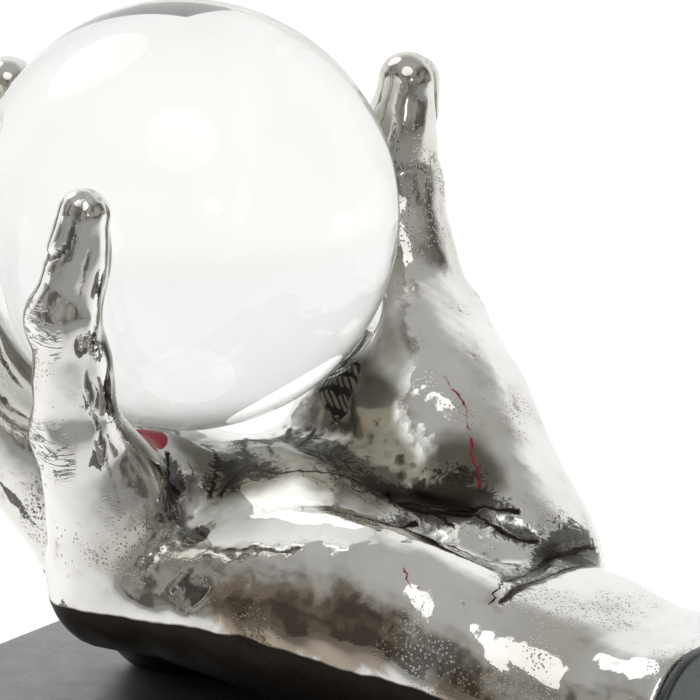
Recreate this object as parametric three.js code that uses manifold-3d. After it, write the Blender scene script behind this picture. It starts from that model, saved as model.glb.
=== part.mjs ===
// A clear crystal ball that rests in a life-size cast metal hand, on a dark stone plinth.
// Millimetres. +Z is up, +X runs from the fingers to the wrist, +Y runs from the little
// finger to the thumb. The origin is on the table, under the middle of the whole object.

import * as THREE from 'three';
import { MarchingCubes } from 'three/addons/objects/MarchingCubes.js';
import { mergeVertices } from 'three/addons/utils/BufferGeometryUtils.js';
import Module from 'manifold-3d';

// ---- driving dimensions ----

const GAP = 0.3;                    // clearance between pieces that touch

const BALL_RADIUS = 40;
const BALL_HEIGHT = 90;             // ball's centre above the stone
const BALL_INSET = 42.5;            // ball's centre from the plinth's middle, along -X

const PLINTH_LENGTH = 175;
const PLINTH_DEPTH = 120;
const PLINTH_THICKNESS = 20;
const PLINTH_BEVEL = 1.5;
const PLINTH_MIDDLE = 5.4;          // along X: the fingers reach past the plinth's left end
const COUNTERBORE_RADIUS = 10;
const COUNTERBORE_DEPTH = 10;

const FOOT_RADIUS = 8;
const FOOT_HEIGHT = 3;
const FOOT_INSET = 14;

const STUD_RADIUS = 3;              // M6
const STUD_HOLE_RADIUS = 3.5;
const WASHER_RADIUS = 7.5;
const WASHER_THICKNESS = 1.6;
const LOCK_WASHER_RADIUS = 5.9;
const LOCK_WASHER_SLIT = 1.2;
const NUT_ACROSS_FLATS = 10;
const NUT_HEIGHT = 5;

const PAD_RADIUS = 4;
const PAD_THICKNESS = 0.9;

const WRIST_CUT = 120;              // the wrist is cut off this far from the ball's centre
const END_CAP_THICKNESS = 2;
const CORE_RADIUS = 8;              // the hollow inside the wrist
const CORE_STRETCH = 2.2;           // how much wider than high it is
const CORE_START = 52;              // from the ball's centre, along X
const CORE_SIDE = -7.5;             // its middle, along Y
const CORE_HEIGHT = 19;             // its middle above the stone
const CORE_OVERRUN = 20;            // how far it runs past the cut, so that it opens there

// ---- levels and places worked out from them ----

const PLINTH_BOTTOM = FOOT_HEIGHT + GAP;
const PLINTH_TOP = PLINTH_BOTTOM + PLINTH_THICKNESS;
const BALL = new THREE.Vector3(PLINTH_MIDDLE - BALL_INSET, 0, PLINTH_TOP + BALL_HEIGHT);
const HAND_FLOOR = PLINTH_TOP + GAP;
const SEAT_RADIUS = BALL_RADIUS + PAD_THICKNESS + 2 * GAP;

// Cutting shapes run this far past what they cut: far for a half space, a little for a bore.
const FAR = 400;
const CLEAR = 5;

// Round pieces have this many sides.
const BORE_SIDES = 24;
const RIM_SIDES = 32;
const PAD_SIDES = 20;
const BALL_DETAIL = 8;

// Studs: place from the plinth's middle, and how far each goes into the casting.
const STUDS = {
  palm: { x: -32, y: 6, grip: 16 },
  wrist: { x: 44, y: -8, grip: 6 },
};

// Where the pads sit, as directions from the ball's centre.
const PADS = {
  thumb: new THREE.Vector3(22, 22, -26),
  palm: new THREE.Vector3(4, -14, -38),
  fingers: new THREE.Vector3(-35, -13, -15),
};

// ---- the hand's skeleton, measured from the ball's centre ----
// Each chain is a list of joints: x, y, z and the flesh's radius there.

const FINGERS = {
  little: [[6, -31, -62, 10.5], [5.5, -41, -31.5, 7.6], [7, -46.6, -9.6, 6.1], [11, -45.5, 9.8, 4.8]],
  ring: [[-5, -12, -67, 11.5], [-26, -33, -29, 8.6], [-27, -40, -4, 7], [-24.5, -42, 17, 5.8]],
  middle: [[-9, 8, -77, 12.5], [-36, -10, -36, 9], [-45, -16, -8, 7.3], [-44, -19, 19, 6]],
  index: [[-6, 29, -74, 11.5], [-35, 20, -35, 8.8], [-46, 13, -8, 7.1], [-48, 10, 17, 5.8]],
};
const THUMB = [[62, 16, -60, 15], [28, 38, -26, 10.5], [16, 46.5, -2, 8.2], [16, 47, 18, 6.6]];

const PALM = [
  [[84, -22, -70, 14], [6, -31, -62, 10.5]],
  [[84, -14, -72, 15], [-5, -12, -68, 12]],
  [[84, -4, -74, 16], [-9, 8, -78, 12.5]],
  [[84, 2, -73, 16], [-6, 29, -75, 12]],
];
const THUMB_MOUND = [
  [[60, 12, -60, 17], [38, 25, -40, 15.5]],
  [[20, 29, -42, 13], [36, 26, -38, 14.5]],
];
const FOREARM = [
  [[84, -16, -75, 15.5], [132, -17, -75, 16]],
  [[84, 2, -75, 15.5], [132, 1, -75, 16]],
];
// Mounds of flesh: centre, then half sizes.
const MOUNDS = [
  [[48, -22, -60], [34, 14, 15]],
  [[16, 6, -60], [34, 30, 17]],
  [[5, -21, -47.5], [13, 13, 12.5]],
  [[-12, 2, -52], [14, 16, 12]],
  [[28, 29, -31], [12, 12, 12]],
];

// How far flesh blends where limbs meet.
const PALM_BLEND = 10;
const KNUCKLE_BLEND = 3;
const FINGER_ROOT_BLEND = 7;

// ---- materials ----

function material(colour, roughness, metalness) {
  return new THREE.MeshStandardMaterial({ color: colour, roughness, metalness });
}

const crystal = material(0xf2f6f5, 0.02, 0);
crystal.transparent = true;
crystal.opacity = 0.35;
const nickel = material(0xb9b9b4, 0.12, 1);
const blackened = material(0x55585a, 0.45, 0.6);
const stone = material(0x2b2b2d, 0.3, 0);
const steel = material(0x9c9ea0, 0.35, 1);
const felt = material(0x1c1c1e, 0.95, 0);
const clearRubber = material(0xe8eae8, 0.2, 0);
clearRubber.transparent = true;
clearRubber.opacity = 0.5;

// ---- solids ----

const wasm = await Module();
wasm.setup();

function solid(geometry) {
  const bare = geometry.clone();
  bare.deleteAttribute('normal');
  bare.deleteAttribute('uv');
  const welded = mergeVertices(bare, 1e-3);
  const vertProperties = new Float32Array(welded.attributes.position.array);
  const triVerts = new Uint32Array(welded.index.array);
  return new wasm.Manifold(new wasm.Mesh({ numProp: 3, vertProperties, triVerts }));
}

function geometryOf(manifold) {
  const mesh = manifold.getMesh();
  const geometry = new THREE.BufferGeometry();
  geometry.setAttribute('position', new THREE.BufferAttribute(mesh.vertProperties, 3));
  geometry.setIndex(new THREE.BufferAttribute(mesh.triVerts, 1));
  geometry.computeVertexNormals();
  return geometry;
}

function named(name, geometry, look) {
  const mesh = new THREE.Mesh(geometry, look);
  mesh.name = name;
  return mesh;
}

// A box given by two opposite corners.
function boxBetween(low, high) {
  const size = new THREE.Vector3().subVectors(high, low);
  const middle = new THREE.Vector3().addVectors(low, high).multiplyScalar(0.5);
  return solid(new THREE.BoxGeometry(size.x, size.y, size.z).translate(middle.x, middle.y, middle.z));
}

// A cylinder that stands upright between two levels.
function upright(radius, bottom, top, x, y, sides = BORE_SIDES) {
  const geometry = new THREE.CylinderGeometry(radius, radius, top - bottom, sides);
  geometry.rotateX(Math.PI / 2);
  geometry.translate(x, y, (bottom + top) / 2);
  return geometry;
}

// ---- the hand's shape, as a distance to its skin ----

// Distance from a point to a limb: the skin around two joints of different radius.
function limbDistance(p, a, b) {
  const [bx, by, bz] = [b[0] - a[0], b[1] - a[1], b[2] - a[2]];
  const [px, py, pz] = [p.x - a[0], p.y - a[1], p.z - a[2]];
  const length = Math.hypot(bx, by, bz);
  const along = (px * bx + py * by + pz * bz) / length;
  const across = Math.sqrt(Math.max(px * px + py * py + pz * pz - along * along, 0));
  const slope = (a[3] - b[3]) / length;
  const flank = Math.sqrt(1 - slope * slope);
  const foot = along * flank - across * slope;
  if (foot < 0) return Math.hypot(along, across) - a[3];
  if (foot > length * flank) return Math.hypot(along - length, across) - b[3];
  return across * flank + along * slope - a[3];
}

function moundDistance(p, [centre, half]) {
  const [x, y, z] = [p.x - centre[0], p.y - centre[1], p.z - centre[2]];
  const near = Math.hypot(x / half[0], y / half[1], z / half[2]);
  const slope = Math.hypot(x / half[0] ** 2, y / half[1] ** 2, z / half[2] ** 2);
  return near * (near - 1) / Math.max(slope, 1e-6);
}

// The smaller of two distances, rounded over where they are alike.
function blend(a, b, reach) {
  const share = Math.max(reach - Math.abs(a - b), 0) / reach;
  return Math.min(a, b) - share * share * reach / 4;
}

function chainDistance(p, joints) {
  let distance = limbDistance(p, joints[0], joints[1]);
  for (let i = 1; i < joints.length - 1; i += 1) {
    distance = blend(distance, limbDistance(p, joints[i], joints[i + 1]), KNUCKLE_BLEND);
  }
  return distance;
}

function palmDistance(p) {
  let distance = Infinity;
  for (const [a, b] of [...PALM, ...FOREARM, ...THUMB_MOUND]) {
    distance = blend(distance, limbDistance(p, a, b), PALM_BLEND);
  }
  for (const mound of MOUNDS) {
    distance = blend(distance, moundDistance(p, mound), PALM_BLEND);
  }
  return distance;
}

function handDistance(p) {
  const palm = palmDistance(p);
  let distance = palm;
  for (const finger of Object.values(FINGERS)) {
    distance = Math.min(distance, blend(palm, chainDistance(p, finger), FINGER_ROOT_BLEND));
  }
  return blend(distance, chainDistance(p, THUMB), PALM_BLEND);
}

// The skin as a closed mesh, found on a cubic grid.
function handGeometry() {
  const cells = 64;                 // a power of two keeps the grid exact
  const reach = 144;                // half the grid's size
  const middle = new THREE.Vector3(38, 0, -30);
  const shyness = 0.12;             // keeps the skin this far off the grid's corners
  const mostTriangles = 20000;
  const grid = new MarchingCubes(cells, undefined, false, false, mostTriangles);
  const step = 2 * reach / cells;
  const p = new THREE.Vector3();
  for (let k = 0; k < cells; k += 1) {
    for (let j = 0; j < cells; j += 1) {
      for (let i = 0; i < cells; i += 1) {
        p.set(i, j, k).subScalar(cells / 2).multiplyScalar(step).add(middle);
        const depth = -handDistance(p);
        const side = depth < 0 ? -1 : 1;
        grid.field[i + cells * (j + cells * k)] = side * Math.max(Math.abs(depth), shyness);
      }
    }
  }
  grid.isolation = 0;
  grid.update();
  const positions = grid.positionArray.slice(0, grid.count * 3);
  const geometry = new THREE.BufferGeometry();
  geometry.setAttribute('position', new THREE.BufferAttribute(positions, 3));
  geometry.scale(reach, reach, reach);
  geometry.translate(middle.x + BALL.x, middle.y + BALL.y, middle.z + BALL.z);
  return geometry;
}

// ---- the pieces ----

function ball() {
  const geometry = new THREE.IcosahedronGeometry(BALL_RADIUS, BALL_DETAIL);
  geometry.translate(BALL.x, BALL.y, BALL.z);
  return named('crystal_ball', geometry, crystal);
}

// The hollow that runs from the cut wrist into the heel of the hand.
function core() {
  const length = WRIST_CUT + CORE_OVERRUN - CORE_START;
  const capSteps = 5;
  const geometry = new THREE.CapsuleGeometry(CORE_RADIUS, length, capSteps, PAD_SIDES);
  geometry.rotateZ(Math.PI / 2);
  geometry.scale(1, CORE_STRETCH, 1);
  geometry.translate(BALL.x + CORE_START + length / 2, CORE_SIDE, PLINTH_TOP + CORE_HEIGHT);
  return solid(geometry);
}

function hand(skin) {
  const cut = BALL.x + WRIST_CUT;
  const keep = boxBetween(
    new THREE.Vector3(-FAR, -FAR, HAND_FLOOR),
    new THREE.Vector3(cut, FAR, FAR),
  );
  const seatBall = new THREE.IcosahedronGeometry(SEAT_RADIUS, BALL_DETAIL + 1);
  const seat = solid(seatBall.translate(BALL.x, BALL.y, BALL.z));
  let body = skin.intersect(keep).subtract(seat).subtract(core());
  for (const { x, y, grip } of Object.values(STUDS)) {
    const top = HAND_FLOOR + grip + GAP;
    body = body.subtract(solid(upright(STUD_RADIUS + GAP, 0, top, PLINTH_MIDDLE + x, y)));
  }
  return named('hand_casting', geometryOf(body), nickel);
}

function endCap(skin) {
  const start = BALL.x + WRIST_CUT + GAP;
  const slice = boxBetween(
    new THREE.Vector3(start, -FAR, HAND_FLOOR),
    new THREE.Vector3(start + END_CAP_THICKNESS, FAR, FAR),
  );
  return named('wrist_end_cap', geometryOf(skin.intersect(slice)), blackened);
}

function plinth() {
  const half = { x: PLINTH_LENGTH / 2 - PLINTH_BEVEL, y: PLINTH_DEPTH / 2 - PLINTH_BEVEL };
  const outline = new THREE.Shape([
    new THREE.Vector2(-half.x, -half.y),
    new THREE.Vector2(half.x, -half.y),
    new THREE.Vector2(half.x, half.y),
    new THREE.Vector2(-half.x, half.y),
  ]);
  const slab = new THREE.ExtrudeGeometry(outline, {
    depth: PLINTH_THICKNESS - 2 * PLINTH_BEVEL,
    bevelSize: PLINTH_BEVEL,
    bevelThickness: PLINTH_BEVEL,
    bevelSegments: 1,
  });
  slab.translate(0, 0, PLINTH_BOTTOM + PLINTH_BEVEL);
  let body = solid(slab);
  const ceiling = PLINTH_BOTTOM + COUNTERBORE_DEPTH;
  for (const { x, y } of Object.values(STUDS)) {
    body = body.subtract(solid(upright(STUD_HOLE_RADIUS, 0, PLINTH_TOP + CLEAR, x, y)));
    body = body.subtract(solid(upright(COUNTERBORE_RADIUS, 0, ceiling, x, y, RIM_SIDES)));
  }
  return named('plinth_slab', geometryOf(body.translate(PLINTH_MIDDLE, 0, 0)), stone);
}

// A flat ring with an outline of the given number of sides.
function ring(outer, sides, bottom, thickness, x, y) {
  const rim = upright(outer, bottom, bottom + thickness, x, y, sides);
  const bore = upright(STUD_RADIUS + GAP, bottom - CLEAR, bottom + thickness + CLEAR, x, y);
  return solid(rim).subtract(solid(bore));
}

function fixing(place, stud) {
  const { y, grip } = stud;
  const x = PLINTH_MIDDLE + stud.x;
  const washerBottom = PLINTH_BOTTOM + COUNTERBORE_DEPTH - GAP - WASHER_THICKNESS;
  const lockBottom = washerBottom - GAP - WASHER_THICKNESS;
  const nutBottom = lockBottom - GAP - NUT_HEIGHT;
  const slit = boxBetween(
    new THREE.Vector3(x, y - LOCK_WASHER_SLIT / 2, 0),
    new THREE.Vector3(x + WASHER_RADIUS, y + LOCK_WASHER_SLIT / 2, PLINTH_TOP),
  );
  const lock = ring(LOCK_WASHER_RADIUS, BORE_SIDES, lockBottom, WASHER_THICKNESS, x, y).subtract(slit);
  const washer = ring(WASHER_RADIUS, RIM_SIDES, washerBottom, WASHER_THICKNESS, x, y);
  const nut = ring(NUT_ACROSS_FLATS / Math.sqrt(3), 6, nutBottom, NUT_HEIGHT, x, y);
  const studTop = HAND_FLOOR + grip;
  return [
    named(`stud_${place}`, upright(STUD_RADIUS, nutBottom, studTop, x, y), steel),
    named(`washer_${place}`, geometryOf(washer), steel),
    named(`lock_washer_${place}`, geometryOf(lock), steel),
    named(`nut_${place}`, geometryOf(nut), steel),
  ];
}

// A thin clear dot that follows the ball, between it and the casting.
function restPad(place, direction) {
  const inner = BALL_RADIUS + GAP;
  const outer = inner + PAD_THICKNESS;
  const spread = Math.asin(PAD_RADIUS / inner);
  const steps = 3;
  const profile = [];
  for (let i = 0; i <= steps; i += 1) {
    const angle = spread * i / steps;
    profile.push(new THREE.Vector2(outer * Math.sin(angle), outer * Math.cos(angle)));
  }
  for (let i = steps; i >= 0; i -= 1) {
    const angle = spread * i / steps;
    profile.push(new THREE.Vector2(inner * Math.sin(angle), inner * Math.cos(angle)));
  }
  profile[0].x = 0;
  profile[profile.length - 1].x = 0;
  const dot = new THREE.LatheGeometry(profile.reverse(), PAD_SIDES);
  const pad = named(`rest_pad_${place}`, dot, clearRubber);
  pad.quaternion.setFromUnitVectors(new THREE.Vector3(0, 1, 0), direction.clone().normalize());
  pad.position.copy(BALL);
  return pad;
}

function feet() {
  const x = PLINTH_LENGTH / 2 - FOOT_INSET;
  const y = PLINTH_DEPTH / 2 - FOOT_INSET;
  const corners = [[-x, -y], [x, -y], [x, y], [-x, y]];
  return corners.map(([footX, footY], i) => {
    const disc = upright(FOOT_RADIUS, 0, FOOT_HEIGHT, PLINTH_MIDDLE + footX, footY, RIM_SIDES);
    return named(`foot_${i + 1}`, disc, felt);
  });
}

// ---- the object ----

const skin = solid(handGeometry());
const object = new THREE.Group();
object.name = 'crystal_ball_in_hand';
object.add(ball(), hand(skin), endCap(skin), plinth());
object.add(...feet());
for (const [place, direction] of Object.entries(PADS)) {
  object.add(restPad(place, direction));
}
for (const [place, stud] of Object.entries(STUDS)) {
  object.add(...fixing(place, stud));
}

export default object;
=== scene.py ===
import math

import bpy
import numpy as np
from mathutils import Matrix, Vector


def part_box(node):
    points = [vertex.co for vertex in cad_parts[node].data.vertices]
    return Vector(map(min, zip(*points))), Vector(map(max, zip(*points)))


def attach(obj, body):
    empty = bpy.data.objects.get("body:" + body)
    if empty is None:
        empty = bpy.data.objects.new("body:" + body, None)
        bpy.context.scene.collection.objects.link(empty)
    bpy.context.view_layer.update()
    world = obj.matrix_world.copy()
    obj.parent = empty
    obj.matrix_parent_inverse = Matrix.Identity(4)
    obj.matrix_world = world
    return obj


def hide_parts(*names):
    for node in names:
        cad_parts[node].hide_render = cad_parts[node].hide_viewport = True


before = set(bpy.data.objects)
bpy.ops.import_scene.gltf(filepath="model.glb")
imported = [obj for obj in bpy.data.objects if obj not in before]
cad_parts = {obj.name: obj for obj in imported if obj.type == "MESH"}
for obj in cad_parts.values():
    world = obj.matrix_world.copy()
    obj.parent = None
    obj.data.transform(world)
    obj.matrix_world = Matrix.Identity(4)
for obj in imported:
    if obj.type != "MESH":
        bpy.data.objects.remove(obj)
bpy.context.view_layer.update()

bl_info = {
    "name": "Crystal ball on a cast hand",
    "version": (1, 0, 0),
    "blender": (4, 5, 0),
    "location": "View3D > Sidebar > Crystal Hand",
    "description": "A clear crystal ball that rests in a polished cast hand on a stone plinth",
    "category": "Add Mesh",
}

MM = 0.001

# ---- places taken from the frame ----

BALL_LOW, BALL_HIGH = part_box("crystal_ball")
BALL_CENTRE = (BALL_LOW + BALL_HIGH) / 2
PLINTH_LOW, PLINTH_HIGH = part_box("plinth_slab")
PLINTH_MIDDLE = (PLINTH_LOW + PLINTH_HIGH) / 2
HAND_FLOOR = (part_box("hand_casting")[0].z - BALL_CENTRE.z) / MM
WRIST_CUT = (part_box("hand_casting")[1].x - BALL_CENTRE.x) / MM
CAP_START = (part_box("wrist_end_cap")[0].x - BALL_CENTRE.x) / MM
CAP_END = (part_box("wrist_end_cap")[1].x - BALL_CENTRE.x) / MM

BALL_CUTS = 79
HOLE_SIDES = 96
FOOT_SIDES = 64
OVERRUN = 5 * MM
CAP_STEP = 0.5

# ---- the hand's skeleton ----
# Millimetres from the ball's centre: x towards the wrist, y towards the thumb, z up.
# A chain is a list of joints, each x, y, z and the flesh's radius there.

FINGERS = {
    "little": [(6, -31, -62, 10.5), (5.5, -41, -31.5, 7.6), (7, -46.6, -9.6, 6.1), (11, -45.5, 9.8, 4.8)],
    "ring": [(-5, -12, -67, 11.5), (-26, -33, -29, 8.6), (-27, -40, -4, 7), (-24.5, -42, 17, 5.8)],
    "middle": [(-9, 8, -77, 12.5), (-36, -10, -36, 9), (-45, -16, -8, 7.3), (-44, -19, 19, 6)],
    "index": [(-6, 29, -74, 11.5), (-35, 20, -35, 8.8), (-46, 13, -8, 7.1), (-48, 10, 17, 5.8)],
}
THUMB = [(62, 16, -60, 15), (28, 38, -26, 10.5), (16, 46.5, -2, 8.2), (18.2, 47.5, 19.2, 5.6)]
PALM = [
    [(84, -22, -70, 14), (6, -31, -62, 10.5)],
    [(84, -14, -72, 15), (-5, -12, -68, 12)],
    [(84, -4, -74, 16), (-9, 8, -78, 12.5)],
    [(84, 2, -73, 16), (-6, 29, -75, 12)],
]
FOREARM = [
    [(84, -16, -75, 15.5), (132, -17, -75, 16)],
    [(84, 2, -75, 15.5), (132, 1, -75, 16)],
]
THUMB_MOUND = [
    [(60, 12, -60, 17), (38, 25, -40, 15.5)],
    [(20, 29, -42, 13), (36, 26, -38, 14.5)],
]
# Mounds of flesh: centre, then half sizes.
MOUNDS = [
    [(48, -22, -60), (34, 14, 15)],
    [(16, 6, -60), (34, 30, 17)],
    [(5, -21, -47.5), (13, 13, 12.5)],
    [(-12, 2, -52), (14, 16, 12)],
    [(28, 29, -31), (12, 12, 12)],
]
# The pads of the fingers face the first point, the pad of the thumb the second.
FINGER_GRIP = (45, -5, -15)
THUMB_GRIP = (2, -6, 8)
DIGITS = [*((joints, FINGER_GRIP) for joints in FINGERS.values()), (THUMB, THUMB_GRIP)]
PALM_BLEND = 10
KNUCKLE_BLEND = 3
FINGER_ROOT_BLEND = 7
PAD_BLEND = 2.5
JOINT_BLEND = 2.0
FINE_BLEND = 6
# Shares of a bone's length or radius: where its pad lies, and half the sizes of its pad and its knuckle.
PAD_SHIFT = 0.28
PAD_LENGTH = 0.42
PAD_WIDTH = 0.88
PAD_HEIGHT = 0.86
KNUCKLE_SHIFT = 0.10
KNUCKLE_SHAPE = (0.95, 1.05, 1.0)
SEAT_RADIUS = 41.5
FAR_AWAY = 1e6
# Flesh that only the finished skin has: centre, then half sizes.
FINE_MOUNDS = [
    [(9.5, -33.5, -46), (7.5, 7, 13)],
    [(26, -4, -54), (26, 18, 13)],
]
WRIST_FOLD = [(80, 18, -55), (78, 2, -54), (81, -14, -53), (84, -27, -56)]
LOW_WRIST_FOLD = [(85, 6, -54), (84, -8, -53), (86, -26, -54)]
LITTLE_FOLD = [
    (15, -48, 8), (13.5, -50, -3), (14, -50, -10), (13, -47, -21), (13.5, -44, -32), (15, -41, -44),
]
# Folds that are wide enough to be part of the shape: a bent line, the groove's width and its depth.
FOLDS = [
    ([(22, -13, -44), (37, -6, -48), (51, 0, -47), (62, 1, -48), (76, 4, -52)], 1.4, 1.5),
    (WRIST_FOLD, 1.3, 1.2),
    (LOW_WRIST_FOLD, 1.0, 0.7),
    (LITTLE_FOLD, 1.0, 0.55),
    ([(4, -53, -8), (9, -53, -9)], 0.9, 0.25),
    ([(-1, -47, -32), (5, -50, -31)], 1.1, 0.35),
    ([(13, -24, -39), (16, -28, -42), (18, -27, -46)], 0.9, 0.8),
    ([(8, 9, -44), (15, -2, -44), (21, -12, -45), (24, -20, -47)], 0.9, 0.8),
    ([(26, -39, -56), (31, -39, -60)], 3.4, 1.1),
]
# Millimetres beside a fine line within which the skin knows of it.
LINE_REACH = 12
# Fine dark lines in the palm: families of lines that stay apart from each other.
CREASES = [
    [
        [(8, 9, -44), (13, 0, -44), (21, -12, -45), (23, -22, -46)],
        [(21, 12, -40), (25, 1, -44), (32, 1, -45), (37, -4, -47)],
        [(62, 0, -47), (67, 3, -47), (71, 5, -47)],
        WRIST_FOLD,
    ],
    [
        [
            (17, -17, -41), (21, -12, -45), (29, -12, -46), (37, -6, -48),
            (51, 0, -47), (57, -1, -48), (62, -4, -49),
        ],
        [(11, 5, -43), (16, 3, -43), (20, -1, -44)],
        LOW_WRIST_FOLD,
        [(13, -24, -38), (16, -28, -42), (18, -27, -45)],
    ],
    [
        [(5, -2, -43), (12, -12, -44), (22, -23, -46)],
        [(53, -1, -48), (62, 1, -48), (71, 0, -50), (76, 4, -52)],
        [(14, 14, -42), (19, 6, -43), (22, 2, -44)],
        [(51, -20, -45), (53, -10, -48), (54, -3, -50)],
    ],
]
# Places where dirt has gathered: centre, radius and strength.
STAINS = [
    ((29, -39, -58), 8, 0.85),
    ((24, -10, -45), 11, 0.55),
    ((38, -3, -47), 14, 0.6),
    ((58, 4, -46), 11, 0.8),
    ((79, 10, -53), 12, 1.0),
    ((17, -31, -47), 10, 0.9),
    ((44, -40, -66), 14, 0.6),
    ((-12, -30, -47), 12, 0.6),
    ((-6, -37, -50), 10, 1.0),
]
# Hollows that the polishing wheel missed, also painted reflection of the ball and the hand in the palm:
# centre, radius and strength.
PATINA_AND_REFLECTION = [
    ((18, -8, -46), 24, 1.0),
    ((38, 0, -47), 22, 1.0),
    ((56, 6, -45), 15, 0.9),
    ((26, 14, -34), 15, 0.9),
    ((-20, -20, -45), 18, 0.9),
    ((-12, -33, -49), 13, 1.0),
    ((17, -45, 2), 8, 0.8),
    ((17, -45, -7), 8.5, 0.9),
    ((17, -44, -16), 9, 0.9),
    ((17, -42, -25), 9, 1.0),
    ((18, -38, -35), 10, 1.0),
    ((34, 9, -34), 12, 0.9),
    ((80, 9, -54), 9, 0.9),
]
# The painted shade on the underside: its height under the fingers, then its fall per millimetre past the
# bend.
UNDERSIDE_LINE = -64.5
UNDERSIDE_DROP = 0.12
UNDERSIDE_BEND = 40
# Brown bloom where the plating has worn thin, along the heel of the hand.
BLOOM = [
    ((40, -39, -60), 9, 0.8),
    ((49, -39, -60), 11, 1.0),
    ((60, -38, -61), 11, 1.0),
    ((69, -37, -61), 8, 0.7),
    ((85, -36, -69), 9, 0.8),
]
SCORED_PATCH = [((25.5, 13, -32), 8.5, 1)]
RED_PATCH = [((9, -24, -36), 5.5, 1)]
# Thin red lines of old lacquer on the ball of the thumb and the heel of the hand.
RED_LINES = [
    [(47, 16, -27), (53, 14, -32), (57, 10, -37), (58, 8, -40), (61, 6, -41), (63, 2, -46)],
    [(68, -29, -50), (71, -31, -53), (74, -31, -53)],
]


# ---- signed distance fields, in millimetres from the ball's centre ----


def length(v):
    return np.sqrt((v * v).sum(-1))


def blend(a, b, reach):
    """The smaller of two fields, with a fillet where they are nearly equal."""
    overlap = np.maximum(reach - np.abs(a - b), 0)
    return np.minimum(a, b) - overlap * overlap / (4 * reach)


def carve(a, b, reach):
    """The larger of two fields, with a rounded edge where they are nearly equal."""
    return -blend(-a, -b, reach)


def limb(p, start, end):
    """Distance to a capsule whose radius changes evenly from start to end."""
    a = np.array(start[:3], np.float32)
    bone = np.array(end[:3], np.float32) - a
    size = float(np.linalg.norm(bone))
    axis = bone / size
    offset = p - a
    along = offset @ axis
    across = length(offset - along[..., None] * axis)
    slope = (start[3] - end[3]) / size
    flank = math.sqrt(1 - slope * slope)
    foot = along * flank - across * slope
    near_start = np.hypot(along, across) - start[3]
    near_end = np.hypot(along - size, across) - end[3]
    side = across * flank + along * slope - start[3]
    return np.where(foot < 0, near_start, np.where(foot > size * flank, near_end, side))


def mound(p, centre, half):
    """Distance to an ellipsoid, close enough for blending."""
    scaled = (p - np.array(centre, np.float32)) / np.array(half, np.float32)
    reach = length(scaled)
    steepness = length(scaled / np.array(half, np.float32)) + 1e-6
    return reach * (reach - 1) / steepness


def chain(p, joints):
    field = None
    for start, end in zip(joints, joints[1:]):
        part = limb(p, start, end)
        field = part if field is None else blend(field, part, KNUCKLE_BLEND)
    return field


def unit(v):
    v = np.array(v, np.float32)
    return v / np.linalg.norm(v)


def bone_axes(start, end, grip):
    """Along the bone, across it, and towards what the finger closes on: its own directions."""
    a, b = np.array(start[:3], np.float32), np.array(end[:3], np.float32)
    along = unit(b - a)
    inward = np.array(grip, np.float32) - (a + b) / 2
    inward = unit(inward - (inward @ along) * along)
    return along, np.cross(inward, along), inward


def flesh(p, joints, field, grip):
    """A soft pad inside each bone of a finger and a knuckle behind each joint."""
    for start, end in zip(joints, joints[1:]):
        along, across, inward = bone_axes(start, end, grip)
        middle = (np.array(start) + np.array(end)) / 2
        radius = middle[3]
        size = float(np.linalg.norm(np.array(end[:3]) - np.array(start[:3])))
        axes = np.stack([along, across, inward], 1)
        local = (p - (middle[:3] + inward * radius * PAD_SHIFT).astype(np.float32)) @ axes
        half = (size * PAD_LENGTH, radius * PAD_WIDTH, radius * PAD_HEIGHT)
        field = blend(field, mound(local, (0, 0, 0), half), PAD_BLEND)
    for before, joint in zip(joints, joints[1:-1]):
        along, across, inward = bone_axes(before, joint, grip)
        axes = np.stack([along, across, inward], 1)
        middle = np.array(joint[:3]) - inward * joint[3] * KNUCKLE_SHIFT
        local = (p - middle.astype(np.float32)) @ axes
        half = np.array(KNUCKLE_SHAPE) * joint[3]
        field = blend(field, mound(local, (0, 0, 0), half), JOINT_BLEND)
    return field


def nail_place(p, joints, grip):
    """0 in the middle of the nail, 1 at its edge, and how far round the back of the finger a point is."""
    start, end = joints[-2:]
    along, across, inward = bone_axes(start, end, grip)
    offset = p - np.array(end[:3], np.float32)
    radius = end[3]
    run = (offset @ along + radius * 0.35) / (radius * 1.35)
    width = (offset @ across) / (radius * 0.80)
    edge = (np.abs(run) ** 3 + np.abs(width) ** 3) ** (1 / 3)
    return edge, -(offset @ inward) / radius


def soft_step(value, low, high):
    share = np.clip((value - low) / (high - low), 0, 1)
    return share * share * (3 - 2 * share)


def nail(p, joints, field, grip):
    """Raises a flat plate on the back of the fingertip, with a groove round it."""
    edge, back = nail_place(p, joints, grip)
    behind = soft_step(back, 0.25, 0.6)
    plate = 1 - soft_step(edge, 0.86, 1.0)
    groove = soft_step(edge, 0.82, 1.0) * (1 - soft_step(edge, 1.05, 1.3))
    return field - behind * (0.28 * plate - 0.38 * groove)


def near_line(p, line, margin):
    points = np.array(line, np.float32)
    low, high = points.min(0) - margin, points.max(0) + margin
    return ((p > low) & (p < high)).all(-1)


def line_offset(p, line):
    """Distance to a bent line, the line's direction there, the offset, and the share of the way along."""
    points = np.array(line, np.float32)
    nearest = np.full(p.shape[:-1], FAR_AWAY, np.float32)
    direction = np.zeros(p.shape, np.float32)
    offset = np.zeros(p.shape, np.float32)
    run = np.zeros(p.shape[:-1], np.float32)
    count = len(points) - 1
    for number, (a, b) in enumerate(zip(points, points[1:])):
        bone = b - a
        share = np.clip(((p - a) @ bone) / (bone @ bone), 0, 1)
        away = p - (a + share[..., None] * bone)
        distance = length(away)
        closer = distance < nearest
        nearest = np.where(closer, distance, nearest)
        direction[closer] = bone / np.linalg.norm(bone)
        offset[closer] = away[closer]
        run = np.where(closer, (number + share) / count, run)
    return nearest, direction, offset, run


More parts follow.
